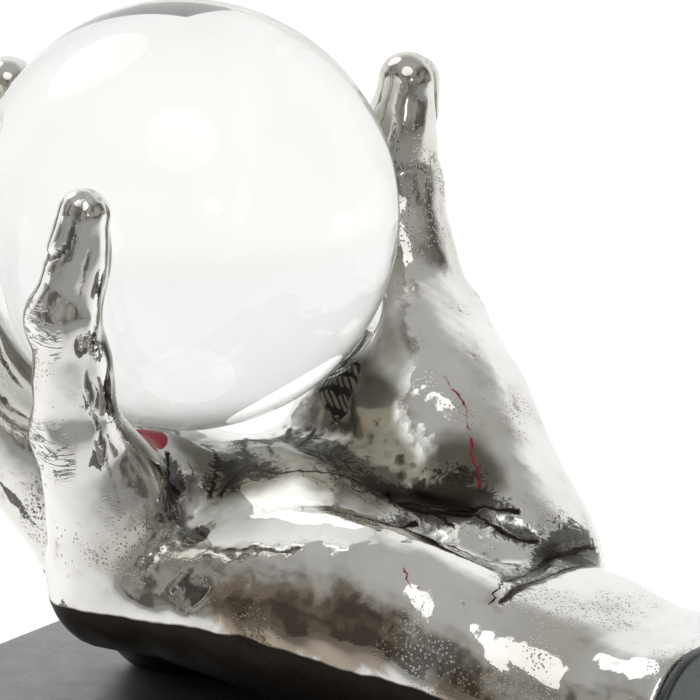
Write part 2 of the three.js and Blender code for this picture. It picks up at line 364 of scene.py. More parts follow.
def furrows(p, field):
    """Presses each fold into the flesh as a rounded groove that fades at its ends."""
    for line, width, depth in FOLDS:
        near = near_line(p, line, 3 * width)
        if not near.any():
            continue
        distance, _, _, run = line_offset(p[near], line)
        fade = np.sqrt(np.clip(4 * run * (1 - run), 0, 1))
        field[near] += depth * fade * np.exp(-((distance / width) ** 2))
    return field


def lumps(p):
    """The casting's slight unevenness."""
    x, y, z = p[..., 0], p[..., 1], p[..., 2]
    broad = np.sin(0.41 * x + 1.3 * np.sin(0.23 * y)) * np.sin(0.37 * y + 0.6) * np.sin(0.33 * z + 0.21 * x)
    fine = np.sin(1.13 * x + 0.9 * y) * np.sin(0.97 * z - 0.7 * x + 1.1) * np.sin(1.21 * y + 0.4 * z)
    return 0.22 * broad + 0.06 * fine


def palm_field(p):
    field = None
    for start, end in PALM + FOREARM + THUMB_MOUND:
        part = limb(p, start, end)
        field = part if field is None else blend(field, part, PALM_BLEND)
    for centre, half in MOUNDS:
        field = blend(field, mound(p, centre, half), PALM_BLEND)
    return field


def hand_field(p):
    """The hand's plain skin."""
    palm = palm_field(p)
    field = palm
    for joints in FINGERS.values():
        field = np.minimum(field, blend(palm, chain(p, joints), FINGER_ROOT_BLEND))
    return blend(field, chain(p, THUMB), PALM_BLEND)


def skin_field(p):
    """The hand with its pads, knuckles, nails and folds."""
    palm = palm_field(p)
    for centre, half in FINE_MOUNDS:
        palm = blend(palm, mound(p, centre, half), FINE_BLEND)
    field = palm
    for joints in FINGERS.values():
        finger = flesh(p, joints, chain(p, joints), FINGER_GRIP)
        field = np.minimum(field, blend(palm, finger, FINGER_ROOT_BLEND))
        field = nail(p, joints, field, FINGER_GRIP)
    field = blend(field, flesh(p, THUMB, chain(p, THUMB), THUMB_GRIP), PALM_BLEND)
    field = nail(p, THUMB, field, THUMB_GRIP)
    return furrows(p, field) + lumps(p)


def casting_field(p):
    """The skin with the ball's seat, the flat under it and the flat at the wrist cut away."""
    field = carve(skin_field(p), SEAT_RADIUS - length(p), 1.0)
    field = carve(field, HAND_FLOOR - p[..., 2], 0.6)
    return carve(field, p[..., 0] - WRIST_CUT, 0.6)


def end_cap_field(p):
    field = carve(hand_field(p) + 0.15, p[..., 0] - CAP_END, 0.7)
    return carve(field, CAP_START - p[..., 0], 0.3)


# ---- from a field to a mesh ----


def sampled(field, low, high, step, coarse=4):
    """The field on a grid. Far from the surface a coarse sample is repeated, near it each point is exact."""
    counts = [int(math.ceil((h - l) / (step * coarse))) + 1 for l, h in zip(low, high)]
    rough_axes = [l + (np.arange(n) + 0.5) * step * coarse for l, n in zip(low, counts)]
    rough = field(np.stack(np.meshgrid(*rough_axes, indexing="ij"), -1).astype(np.float32))
    values = rough.repeat(coarse, 0).repeat(coarse, 1).repeat(coarse, 2)
    axes = [l + np.arange(n * coarse) * step + step / 2 for l, n in zip(low, counts)]
    near = np.abs(values) < step * coarse * 1.8
    i, j, k = np.nonzero(near)
    points = np.stack([axes[0][i], axes[1][j], axes[2][k]], -1).astype(np.float32)
    exact = np.concatenate([field(part) for part in np.array_split(points, 24)])
    values[i, j, k] = exact
    return values, axes


def surface_net(values, axes):
    """One vertex in each cell that the surface crosses and one quad across each crossed edge."""
    inside = values < 0
    origin = np.array([a[0] for a in axes])
    step = axes[0][1] - axes[0][0]
    shape = np.array(values.shape) - 1
    corners = [(x, y, z) for x in (0, 1) for y in (0, 1) for z in (0, 1)]

    def corner(grid, c):
        return grid[c[0]:shape[0] + c[0], c[1]:shape[1] + c[1], c[2]:shape[2] + c[2]]

    full = sum(corner(inside, c).astype(np.int8) for c in corners)
    cells = np.argwhere((full > 0) & (full < 8))
    number = np.full(shape, -1, np.int64)
    number[tuple(cells.T)] = np.arange(len(cells))
    total = np.zeros((len(cells), 3))
    crossings = np.zeros(len(cells))
    for c in corners:
        for axis in range(3):
            if c[axis]:
                continue
            d = tuple(v + (n == axis) for n, v in enumerate(c))
            a = values[tuple((cells + c).T)]
            b = values[tuple((cells + d).T)]
            crossed = (a < 0) != (b < 0)
            share = np.where(crossed, a / np.where(crossed, a - b, 1), 0)
            place = np.array(c, float)[None].repeat(len(cells), 0)
            place[:, axis] = share
            total[crossed] += place[crossed]
            crossings += crossed
    vertices = origin + (cells + total / crossings[:, None]) * step
    quads = []
    for axis in range(3):
        u, v = (axis + 1) % 3, (axis + 2) % 3
        first = [slice(0, n) for n in values.shape]
        second = [slice(0, n) for n in values.shape]
        first[axis] = slice(0, values.shape[axis] - 1)
        second[axis] = slice(1, values.shape[axis])
        a, b = inside[tuple(first)], inside[tuple(second)]
        edges = np.argwhere(a != b)
        ring = []
        for du, dv in ((-1, -1), (0, -1), (0, 0), (-1, 0)):
            cell = edges.copy()
            cell[:, u] += du
            cell[:, v] += dv
            ring.append(number[tuple(cell.T)])
        ring = np.stack(ring, 1)
        outward = a[tuple(edges.T)]
        quads.append(np.where(outward[:, None], ring, ring[:, ::-1]))
    return vertices, np.concatenate(quads)


def gradient(field, points, reach=0.05):
    slopes = []
    for axis in range(3):
        shift = np.zeros(3, np.float32)
        shift[axis] = reach
        slopes.append((field(points + shift) - field(points - shift)) / (2 * reach))
    return np.stack(slopes, -1)


def settled(field, vertices, limit):
    """The vertices moved onto the true surface, each by at most limit."""
    points = vertices.astype(np.float32)
    moved = np.zeros_like(points)
    for _ in range(3):
        slope = gradient(field, points)
        pull = field(points)[:, None] * slope / np.maximum((slope * slope).sum(-1), 0.2)[:, None]
        moved = np.clip(moved - pull, -limit, limit)
        points = vertices.astype(np.float32) + moved
    return points


def field_mesh(name, field, low, high, step):
    values, axes = sampled(field, low, high, step)
    vertices, quads = surface_net(values, axes)
    points = settled(field, vertices, step * 0.6)
    mesh = bpy.data.meshes.new(name)
    mesh.from_pydata((points * MM + np.array(BALL_CENTRE)).tolist(), [], quads.tolist())
    mesh.validate()
    piece = bpy.data.objects.new(name, mesh)
    bpy.context.scene.collection.objects.link(piece)
    mesh.shade_smooth()
    return piece, points


# ---- shader maths ----


class Wire:
    """A socket that adds a Math node when it is used in an expression."""

    def __init__(self, graph, socket):
        self.graph = graph
        self.socket = socket

    def math(self, operation, *values):
        return self.graph.node("ShaderNodeMath", {"operation": operation}, dict(enumerate(values)))

    def __add__(self, other):
        return self.math("ADD", self, other)

    def __sub__(self, other):
        return self.math("SUBTRACT", self, other)

    def __rsub__(self, other):
        return self.math("SUBTRACT", other, self)

    def __mul__(self, other):
        return self.math("MULTIPLY", self, other)

    def __abs__(self):
        return self.math("ABSOLUTE", self)

    __radd__ = __add__
    __rmul__ = __mul__

    def most(self, other):
        return self.math("MAXIMUM", self, other)

    def least(self, other):
        return self.math("MINIMUM", self, other)

    def ramp(self, low, high, start=0.0, end=1.0):
        """start below low, end above high, and a soft change between them."""
        return self.graph.node(
            "ShaderNodeMapRange",
            {"interpolation_type": "SMOOTHSTEP"},
            {"Value": self, "From Min": low, "From Max": high, "To Min": start, "To Max": end},
        )


class Graph:
    """The nodes of a new material, or of a world."""

    def __init__(self, name, kind="materials", place="Object"):
        self.owner = getattr(bpy.data, kind).new(name)
        self.owner.use_nodes = True
        self.tree = self.owner.node_tree
        self.tree.nodes.clear()
        self.place = self.node("ShaderNodeTexCoord", output=place)

    def node(self, kind, settings=None, inputs=None, output=0):
        made = self.tree.nodes.new(kind)
        for key, value in (settings or {}).items():
            setattr(made, key, value)
        for key, value in (inputs or {}).items():
            if isinstance(value, Wire):
                self.tree.links.new(value.socket, made.inputs[key])
            else:
                made.inputs[key].default_value = value
        return None if output is None else Wire(self, made.outputs[output])

    def noise(self, scale, detail=3.0, roughness=0.5, distortion=0.0, place=None):
        inputs = {"Vector": place or self.place, "Scale": scale, "Detail": detail}
        inputs |= {"Roughness": roughness, "Distortion": distortion}
        return self.node("ShaderNodeTexNoise", {}, inputs)

    def cells(self, scale, output="Distance"):
        return self.node("ShaderNodeTexVoronoi", {}, {"Vector": self.place, "Scale": scale}, output)

    def mix(self, share, first, second):
        inputs = {"Factor": share, 6: first, 7: second}
        return self.node("ShaderNodeMix", {"data_type": "RGBA"}, inputs, output=2)

    def attribute(self, name, output):
        return self.node("ShaderNodeAttribute", {"attribute_name": name}, output=output)

    def dot(self, vector, direction):
        settings = {"operation": "DOT_PRODUCT"}
        return self.node("ShaderNodeVectorMath", settings, {0: vector, 1: direction}, output="Value")

    def parts(self, name):
        """The three numbers of a vector that is stored on the mesh."""
        vector = self.attribute(name, "Vector")
        split = self.node("ShaderNodeSeparateXYZ", {}, {"Vector": vector}).socket.node
        return [Wire(self, socket) for socket in split.outputs]

    def bump(self, height, distance, strength=1.0):
        return self.node("ShaderNodeBump", {}, {"Height": height, "Distance": distance, "Strength": strength})

    def finish(self, **inputs):
        sockets = {key.replace("_", " "): value for key, value in inputs.items()}
        shader = self.node("ShaderNodeBsdfPrincipled", {}, sockets)
        self.node("ShaderNodeOutputMaterial", {}, {"Surface": shader}, output=None)
        return self.owner


# ---- materials ----


def crystal_glass(look):
    g = Graph("crystal_glass")
    smudge = g.noise(90, 4, 0.6).ramp(0.52, 0.75) * g.noise(18, 2).ramp(0.45, 0.65)
    return g.finish(
        Base_Color=look.crystal,
        Roughness=smudge * 0.006,
        IOR=look.crystal_ior,
        Transmission_Weight=1.0,
    )


def polished_nickel(look):
    """Bright plating over a rough casting: pits, drag marks and dark filling in every fold, with painted
    shade in the hollows and on the underside and painted reflection in the palm.
    """
    g = Graph("polished_nickel")
    waves = g.noise(75, 2, 0.5)
    ripple = g.noise(240, 3, 0.6, 0.6)
    grain = g.noise(1100, 3, 0.6)
    wobble = g.noise(520, 3, 0.65) - 0.5
    shake = g.noise(120, 2, 0.5) - 0.5

    creases = None
    smear = None
    for number in range(len(CREASES)):
        offset, strength, _ = g.parts(f"crease_{number}")
        across = abs(offset + wobble * 0.8 + shake * 1.6)
        line = across.ramp(0.42, 0.85, 1, 0) * strength.ramp(0.05, 0.5)
        near = abs(offset).ramp(0.3, 5.5, 1, 0) * strength
        creases = line if creases is None else creases.most(line)
        smear = near if smear is None else smear.most(near)
    hatch = g.noise(340, 4, 0.75, 2.2)
    filth = g.attribute("stain", "Fac")
    patina_and_reflection = (g.attribute("patina_and_reflection", "Fac") * 1.5 + shake * 0.6).ramp(0.18, 0.72)
    smear = (smear * 0.50 + filth * 0.70 + patina_and_reflection * 0.16 + hatch - 0.84).ramp(0.0, 0.20)
    scored = g.attribute("scored", "Fac")
    tilt = g.node("ShaderNodeMapping", {}, {"Vector": g.place, "Rotation": (0.5, 0.9, 0.7)})
    grids = None
    for direction in ("X", "Y"):
        bars = g.node(
            "ShaderNodeTexWave",
            {"bands_direction": direction},
            {"Vector": tilt, "Scale": 230, "Distortion": 1.8, "Detail": 2.0, "Detail Scale": 1.5},
            output="Fac",
        ).ramp(0.62, 0.78)
        grids = bars if grids is None else grids.most(bars)
    scoring = grids * (scored + shake * 1.2).ramp(0.22, 0.36) * (hatch + 0.3).ramp(0.55, 0.7)

    along, around, close = g.parts("knuckle")
    skin = g.node("ShaderNodeCombineXYZ", {}, {"X": along * 0.50, "Y": around * 0.13, "Z": 0.0})
    wrinkle_field = g.noise(1.0, 3, 0.6, 1.2, place=skin)
    wrinkles = abs(wrinkle_field - 0.5).ramp(0.0, 0.035, 1, 0) * close.ramp(0.2, 0.75)

    edge, plate, _ = g.parts("nail")
    cuticle = abs(edge - 1.02 + wobble * 0.1).ramp(0.02, 0.12, 1, 0) * plate

    pit_where = (g.noise(42, 3, 0.6) + filth * 0.22).ramp(0.60, 0.74)
    pits = g.cells(1050).ramp(0.12, 0.28, 1, 0) * pit_where
    pores = g.cells(1500).ramp(0.12, 0.34, 1, 0) * g.noise(60, 2).ramp(0.50, 0.64)
    # Painted shade in the hollows, from the surface's curvature, mixed with real dirt: both darken to the
    # tarnish colour.
    recess = g.attribute("recess", "Fac")
    dirt_and_shade = (recess * 1.1 + ripple * 0.6 + filth * 0.25 - 0.45).ramp(0.12, 0.70)

    red_offset, red_strength, _ = g.parts("red_line")
    red_line = abs(red_offset + wobble * 1.6 + shake * 2.0).ramp(0.10, 0.40, 1, 0)
    red = red_line * red_strength.ramp(0.1, 0.5) * g.noise(200, 2).ramp(0.38, 0.50)
    red = red.most((g.attribute("red_patch", "Fac") + shake * 0.9).ramp(0.30, 0.36))

    # Painted shade: the underside darkens to the tarnish colour, standing in for the dark plinth that it
    # reflects.
    under = (g.attribute("under", "Fac") + shake * 0.5).ramp(0.42, 0.58)
    bloom = (g.attribute("bloom", "Fac") * 0.8 + ripple * 0.7 + waves * 0.3 - 0.55).ramp(0.0, 0.30)
    lines = creases.most(wrinkles * 0.6).most(cuticle * 0.7).most(scoring)
    # Real tarnish, pits and dirt, together with painted shade in the hollows and on the underside.
    stain_and_shade = lines.most(dirt_and_shade * 0.8).most(smear * 0.85).most(pits * 0.9).most(pores * 0.6).most(under)
    haze = g.noise(55, 4, 0.65, 0.4).ramp(0.48, 0.72)
    bright = g.mix(g.noise(30, 3, 0.6).ramp(0.35, 0.65), look.nickel, look.nickel_warm)
    # Painted reflection of the ball and the hand in the palm, also unpolished patina: olive tone.
    bright = g.mix(patina_and_reflection, bright, look.olive_patina_and_reflection)
    bright = g.mix(bloom * 0.75, bright, look.bloom)
    colour = g.mix(red, g.mix(stain_and_shade, bright, look.tarnish_and_shade), look.lacquer)
    height = (
        waves * 0.30
        + ripple * 0.035
        + hatch * smear * 0.06
        + grain * 0.006
        - pits * 0.30
        - pores * 0.10
        - lines * 0.22
        - dirt_and_shade * 0.08
    )
    return g.finish(
        Base_Color=colour,
        Metallic=1.0,
        Roughness=(haze * 0.06 + patina_and_reflection * 0.10 + stain_and_shade * 0.38 + red * 0.25 + 0.05).least(0.6),
        Normal=g.bump(height, 0.0011, 0.9),
    )


def honed_stone(look):
    """Honed dark stone: fine crystals, thin pale veins and small open pits."""
    g = Graph("honed_stone")
    cloud = g.noise(22, 5, 0.62, 0.6)
    speck = g.noise(620, 2, 0.5).ramp(0.56, 0.70)
    vein = (abs(g.noise(9, 6, 0.6, 1.4) - 0.5)).ramp(0.0, 0.012, 1, 0) * g.noise(30, 2).ramp(0.45, 0.6)
    pit = g.cells(150).ramp(0.07, 0.13, 1, 0) * g.noise(55, 2).ramp(0.52, 0.60)
    base = g.mix(cloud.ramp(0.35, 0.7), look.stone, look.stone_pale)
    base = g.mix(speck * 0.35, base, look.stone_vein)
    base = g.mix(vein * 0.5, base, look.stone_vein)
    colour = g.mix(pit, base, (0.006, 0.006, 0.006, 1))
    height = cloud * 0.15 + g.noise(1400, 2) * 0.04 - pit * 1.0
    return g.finish(
        Base_Color=colour,
        Roughness=g.noise(160, 3, 0.6).ramp(0.3, 0.7, 0.38, 0.48) + pit * 0.4,
        IOR=2.9,
        Normal=g.bump(height, 0.0004, 0.35),
    )


def blackened_metal(look):
    g = Graph("blackened_plate")
    brushed = g.node("ShaderNodeMapping", {}, {"Vector": g.place, "Scale": (40, 900, 900)})
    lines = g.noise(1.0, 3, 0.6, place=brushed)
    wear = g.noise(70, 4, 0.6).ramp(0.5, 0.75)
    colour = g.mix(wear * 0.5, look.blackened, look.blackened_worn)
    return g.finish(
        Base_Color=colour,
        Metallic=1.0,
        Roughness=lines * 0.22 + 0.28,
        Normal=g.bump(lines + g.noise(300, 2) * 0.4, 0.0001, 0.5),
    )


def black_felt(look):
    g = Graph("black_felt")
    fibre = g.noise(1600, 4, 0.7, 1.5)
    tuft = g.noise(260, 3, 0.6)
    colour = g.mix(fibre.ramp(0.35, 0.75), look.felt, look.felt_pale)
    return g.finish(
        Base_Color=colour,
        Roughness=0.95,
        Sheen_Weight=0.5,
        Normal=g.bump(fibre * 0.6 + tuft, 0.0005, 0.9),
    )


def clear_bumper(look):
    g = Graph("clear_bumper")
    cloudy = g.noise(700, 3, 0.6)
    bubble = g.cells(900).ramp(0.10, 0.22, 1, 0)
    colour = g.mix(bubble * 0.4, look.bumper, (1, 1, 1, 1))
    return g.finish(
        Base_Color=colour,
        Roughness=cloudy * 0.25 + 0.12,
        IOR=1.45,
        Transmission_Weight=0.75,
        Normal=g.bump(cloudy - bubble * 0.4, 0.0001, 0.4),
    )


def zinc_steel(look):
    g = Graph("zinc_steel")
    spangle = g.cells(520, output="Color")
    tone = g.node("ShaderNodeRGBToBW", {}, {"Color": spangle})
    stain = g.noise(240, 4, 0.65).ramp(0.5, 0.75)
    colour = g.mix(tone * 0.5, look.zinc, look.zinc_pale)
    colour = g.mix(stain * 0.4, colour, look.zinc_stain)
    return g.finish(
        Base_Color=colour,
        Metallic=1.0,
        Roughness=tone * 0.12 + stain * 0.2 + 0.26,
        Normal=g.bump(g.noise(900, 3) + tone * 0.3, 0.00008, 0.5),
    )


def behind(stage):
    """The level direction away from the camera, towards which the floor's painted glow and the room's white
    lie.
    """
    return (-math.sin(stage.azimuth), math.cos(stage.azimuth), 0)


def studio_floor_painted_light(look, stage):
    """Pale paper with a painted glow behind the object and painted shade in front of it: its emission fades
    and its colour darkens towards the camera's side.
    """
    g = Graph("studio_floor_painted_light")
    paper = g.noise(400, 3, 0.5)
    # Painted light: 1 behind the object, 0 on the camera's side.
    lit = g.dot(g.place, behind(stage)).ramp(-0.34, 0.02)
    tone = g.mix(paper, look.floor, look.floor_shade)
    glow = g.mix(lit, (0.04, 0.04, 0.04, 1), (1, 1, 1, 1))
    return g.finish(
        Base_Color=g.mix(lit, look.floor_painted_shade, tone),
        Roughness=0.9,
        Emission_Color=glow,
        Emission_Strength=look.floor_painted_glow,
        Normal=g.bump(paper, 0.0001, 0.2),
    )


# ---- modelling helpers ----


def dress(piece, material):
    piece.data.materials.clear()
    piece.data.materials.append(material)


def place(piece, material, body, slot, *nodes):
    """Gives a finished piece its material and its body, and hides the nodes that it stands for."""
    dress(piece, material)
    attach(piece, body)
    if nodes:
        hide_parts(*nodes)


def start_piece():
    if bpy.context.object and bpy.context.object.mode != "OBJECT":
        bpy.ops.object.mode_set(mode="OBJECT")
    bpy.ops.object.select_all(action="DESELECT")


def cylinder(sides, radius, middle, bottom, top):
    """An upright cylinder whose axis passes through middle."""
    start_piece()
    bpy.ops.mesh.primitive_cylinder_add(
        vertices=sides, radius=radius, depth=top - bottom, location=(middle.x, middle.y, (top + bottom) / 2)
    )
    return bpy.context.object


def settle(piece, angle=None):
    """Puts the piece's place into its mesh and smooths its shading."""
    start_piece()
    piece.select_set(True)
    bpy.context.view_layer.objects.active = piece
    bpy.ops.object.transform_apply(location=True, rotation=True, scale=True)
    if angle is None:
        bpy.ops.object.shade_smooth()
    else:
        bpy.ops.object.shade_smooth_by_angle(angle=math.radians(angle))


def apply_modifier(piece, kind, **settings):
    modifier = piece.modifiers.new(kind.lower(), kind)
    for key, value in settings.items():
        setattr(modifier, key, value)
    bpy.context.view_layer.objects.active = piece
    bpy.ops.object.modifier_apply(modifier=modifier.name)


def cut(piece, tool):
    """Takes the tool's volume out of the piece and removes the tool."""
    apply_modifier(piece, "BOOLEAN", operation="DIFFERENCE", object=tool, solver="EXACT")
    bpy.data.objects.remove(tool)


# ---- the piece's settings ----


def colour(name, description, value):
    return bpy.props.FloatVectorProperty(
        name=name, description=description, default=(*value, 1), size=4, subtype="COLOR", min=0, max=1
    )


def amount(name, description, value, **settings):
    return bpy.props.FloatProperty(name=name, description=description, default=value, **settings)


def measure(name, description, value):
    return amount(name, description, value, unit="LENGTH", subtype="DISTANCE", precision=5)


class CrystalHandSizes(bpy.types.PropertyGroup):
    """Sizes that the frame doesn't settle."""

    skin_step: measure("Skin step", "Size of the cells that the casting is built from", 0.92 * MM)
    plinth_bevel: measure("Plinth bevel", "Radius of the plinth's polished edges", 1.5 * MM)
    stud_hole: measure("Stud hole", "Radius of the holes that the studs pass through", 3.5 * MM)
    counterbore: measure("Counterbore", "Radius of the recesses that hold the nuts", 10 * MM)
    counterbore_depth: measure("Counterbore depth", "How deep the recesses are", 10 * MM)
    foot_edge: measure("Foot edge", "Rounding of the felt feet", 0.8 * MM)


class CrystalHandLooks(bpy.types.PropertyGroup):
    """Colours and finishes."""

    crystal: colour("Crystal", "Body tint of the ball", (0.935, 0.95, 0.932))
    crystal_ior: amount("Crystal index", "Refractive index of the ball", 1.52, min=1.3, max=2.0)
    nickel: colour("Nickel", "Bright plating", (0.88, 0.875, 0.855))
    nickel_warm: colour("Warm nickel", "Plating where it is thin", (0.70, 0.685, 0.64))
    # Tarnish colour, also used for the painted shade in the hollows and on the underside.
    tarnish_and_shade: colour("Tarnish", "Dark filling in creases and pits", (0.028, 0.022, 0.017))
    # Painted reflection in the palm, also unpolished patina.
    olive_patina_and_reflection: colour("Patina", "Unpolished hollows of the palm", (0.17, 0.162, 0.13))
    bloom: colour("Bloom", "Brown bloom where the plating is thin", (0.27, 0.19, 0.12))
    lacquer: colour("Lacquer", "Thin red lines left from an old coat", (0.34, 0.03, 0.05))
    stone: colour("Stone", "Body of the plinth", (0.090, 0.090, 0.095))
    stone_pale: colour("Pale stone", "Lighter clouds in the plinth", (0.155, 0.155, 0.163))
    stone_vein: colour("Stone vein", "Fine crystals and veins", (0.24, 0.24, 0.24))
    blackened: colour("Blackened plate", "Wrist plate", (0.10, 0.11, 0.11))
    blackened_worn: colour("Worn plate", "Wrist plate where it is rubbed", (0.26, 0.26, 0.26))
    felt: colour("Felt", "Feet", (0.010, 0.010, 0.012))
    felt_pale: colour("Felt fibre", "Loose fibres on the feet", (0.05, 0.05, 0.055))
    bumper: colour("Bumper", "Clear rest pads", (0.93, 0.94, 0.93))
    zinc: colour("Zinc", "Nuts, studs and washers", (0.42, 0.43, 0.44))
    zinc_pale: colour("Zinc spangle", "Paler crystals of the zinc", (0.62, 0.63, 0.64))
    zinc_stain: colour("Zinc stain", "Dull patches on the zinc", (0.20, 0.19, 0.17))
    floor: colour("Floor", "Studio floor", (0.93, 0.93, 0.93))
    floor_shade: colour("Floor shade", "Faint grain of the studio floor", (0.90, 0.90, 0.90))
    # Painted shade: the floor's colour on the camera's side.
    floor_painted_shade: colour("Floor in front", "Studio floor on the camera's side", (0.50, 0.50, 0.49))
    # Painted glow: emission that lights up the floor behind the object though it is no lamp.
    floor_painted_glow: amount("Floor glow", "Light of the lit-through floor sheet", 0.53)


class CrystalHandStage(bpy.types.PropertyGroup):
    """Camera and lamps."""

    azimuth: amount("Azimuth", "Camera's turn round the ball", math.radians(34), subtype="ANGLE")
    elevation: amount("Elevation", "Camera's height angle", math.radians(14), subtype="ANGLE")
    distance: measure("Distance", "From the camera to the point that it looks at", 1.1)
    aim_right: measure("Aim right", "How far right of the ball the camera looks", 30.70 * MM)
    aim_down: measure("Aim down", "How far below the ball the camera looks", 25.00 * MM)
    lens: amount("Lens", "Focal length in millimetres", 306.4)
    sky: amount("Room light", "Strength of the room's own light", 1.0)
    paper: colour("Paper", "White sheet behind the object", (1, 1, 1))
    room_grey: colour("Room", "Paler parts of the room in front", (0.34, 0.325, 0.295))
    ceiling: colour("Ceiling", "Room above the object", (0.46, 0.455, 0.44))
    room_dark: colour("Dark room", "Darker parts of the room in front", (0.11, 0.105, 0.094))


# ---- operators ----


class CrystalHandOperator:
    bl_options = {"REGISTER", "UNDO"}

    def execute(self, context):
        start_piece()
        settings = context.scene
        self.make(settings.crystal_hand_sizes, settings.crystal_hand_looks, settings.crystal_hand_stage)
        return {"FINISHED"}


class CRYSTALHAND_OT_ball(CrystalHandOperator, bpy.types.Operator):
    """Makes the clear ball"""

    bl_idname = "crystal_hand.ball"
    bl_label = "Crystal ball"

    def make(self, size, look, stage):
        radius = (BALL_HIGH.z - BALL_LOW.z) / 2
        bpy.ops.mesh.primitive_cube_add(size=2 * radius, location=BALL_CENTRE)
        ball = bpy.context.object
        ball.name = "crystal_ball_polished"
        bpy.ops.object.mode_set(mode="EDIT")
        bpy.ops.mesh.select_all(action="SELECT")
        bpy.ops.mesh.subdivide(number_cuts=BALL_CUTS)
        bpy.ops.object.mode_set(mode="OBJECT")
        apply_modifier(ball, "CAST", cast_type="SPHERE", factor=1.0, size=radius, use_radius_as_size=False)
        settle(ball)
        place(ball, crystal_glass(look), "ball", "crystal", "crystal_ball")


class CRYSTALHAND_OT_hand(CrystalHandOperator, bpy.types.Operator):
    """Makes the cast hand"""

    bl_idname = "crystal_hand.hand"
    bl_label = "Hand casting"

    def make(self, size, look, stage):
        low, high = (np.array(corner - BALL_CENTRE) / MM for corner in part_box("hand_casting"))
        step = size.skin_step / MM
        hand, points = field_mesh("hand_casting_skin", casting_field, low - 3, high + 3, step)
        normals = gradient(hand_field, points)
        normals /= np.maximum(length(normals), 0.1)[:, None]
        mark(hand, "recess", hollows(points))
        mark(hand, "stain", spots(points, STAINS))
        inward = -(normals * points).sum(-1) / length(points)
        # Painted reflection and patina: olive tone on surfaces that face the ball, where the palm reflects
        # the ball and the hand.
        patina_and_reflection_share = spots(points, PATINA_AND_REFLECTION) * np.clip(inward * 3 + 0.6, 0, 1)
        mark(hand, "patina_and_reflection", patina_and_reflection_share)
        mark(hand, "bloom", spots(points, BLOOM))
        mark(hand, "under", painted_underside_shade(points))
        mark(hand, "scored", spots(points, SCORED_PATCH))
        mark(hand, "red_patch", spots(points, RED_PATCH))
        mark(hand, "knuckle", knuckle_places(points))
        mark(hand, "nail", nail_marks(points))
        for number, lines in enumerate(CREASES):
            mark(hand, f"crease_{number}", line_marks(points, normals, lines))
        mark(hand, "red_line", line_marks(points, normals, RED_LINES))
        place(hand, polished_nickel(look), "stand", "nickel_plate", "hand_casting")


def mark(piece, name, values):
    """Stores a number or a vector on each of the piece's vertices, for its material to read."""
    kind, field = ("FLOAT", "value") if values.ndim == 1 else ("FLOAT_VECTOR", "vector")
    attribute = piece.data.attributes.new(name, kind, "POINT")
    attribute.data.foreach_set(field, values.astype(np.float32).ravel())


def hollows(points):
    """How deep each point lies in a hollow: the surface's mean curvature, 0 on ridges and 1 in creases."""
    reach = 1.5
    around = -6 * skin_field(points)
    for axis in range(3):
        shift = np.zeros(3, np.float32)
        shift[axis] = reach
        around += skin_field(points + shift) + skin_field(points - shift)
    curvature = -around / (reach * reach)
    return np.clip(curvature * 2.2, 0, 1)


def spots(points, places):
    """1 in the middle of the nearest spot, falling to 0 at its radius."""
    found = np.zeros(len(points), np.float32)
    for centre, radius, strength in places:
        distance = length(points - np.array(centre, np.float32))
        found = np.maximum(found, strength * np.clip(1 - distance / radius, 0, 1))
    return found


def painted_underside_shade(points):
    """1 in the painted shade on the underside, below a line that drops towards the wrist."""
    line = UNDERSIDE_LINE - UNDERSIDE_DROP * np.maximum(points[:, 0] - UNDERSIDE_BEND, 0)
    return np.clip((line - points[:, 2]) / 4 + 0.5, 0, 1)


def line_marks(points, normals, lines):
    """Signed distance across the nearest line, and the line's strength there."""
    marks = np.zeros((len(points), 3), np.float32)
    marks[:, 0] = 20
    best = np.full(len(points), FAR_AWAY, np.float32)
    for line in lines:
        near = np.flatnonzero(near_line(points, line, LINE_REACH))
        distance, direction, offset, run = line_offset(points[near], line)
        closer = distance < best[near]
        chosen = near[closer]
        best[chosen] = distance[closer]
        sideways = np.cross(direction[closer], normals[chosen])
        side = np.sign((offset[closer] * sideways).sum(-1))
        fade = np.sqrt(np.clip(6 * run[closer] * (1 - run[closer]), 0, 1))
        reach = 1 - soft_step(distance[closer], 5.0, 9.0)
        marks[chosen, 0] = side * distance[closer]
        marks[chosen, 1] = fade * reach
    return marks


def knuckle_places(points):
    """Millimetres along and round the finger at its nearest joint, and how close that joint is."""
    places = np.zeros((len(points), 3), np.float32)
    best = np.full(len(points), FAR_AWAY, np.float32)
    for joints, grip in DIGITS:
        for before, joint in zip(joints, joints[1:-1]):
            along, across, inward = bone_axes(before, joint, grip)
            offset = points - np.array(joint[:3], np.float32)
            run = offset @ along
            around = np.arctan2(offset @ across, -(offset @ inward)) * joint[3]
            distance = length(offset) / joint[3]
            weight = np.exp(-((run / 5.5) ** 2)) * (1 - soft_step(distance, 1.3, 1.9))
            weight = weight * soft_step(-(offset @ inward) / joint[3], 0.0, 0.6)
            closer = distance < best
            best = np.where(closer, distance, best)
            places[closer] = np.stack([run, around, weight], -1)[closer]
    return places


def nail_marks(points):
    """Place on the nearest nail from middle to edge, and how much of a nail there is at a point."""
    marks = np.zeros((len(points), 3), np.float32)
    marks[:, 0] = 3
    for joints, grip in DIGITS:
        edge, back = nail_place(points, joints, grip)
        tip = np.array(joints[-1][:3], np.float32)
        close = length(points - tip) < joints[-1][3] * 2.6
        chosen = close & (edge < 3)
        marks[chosen, 0] = edge[chosen]
        marks[chosen, 1] = soft_step(back[chosen], 0.2, 0.55)
    return marks


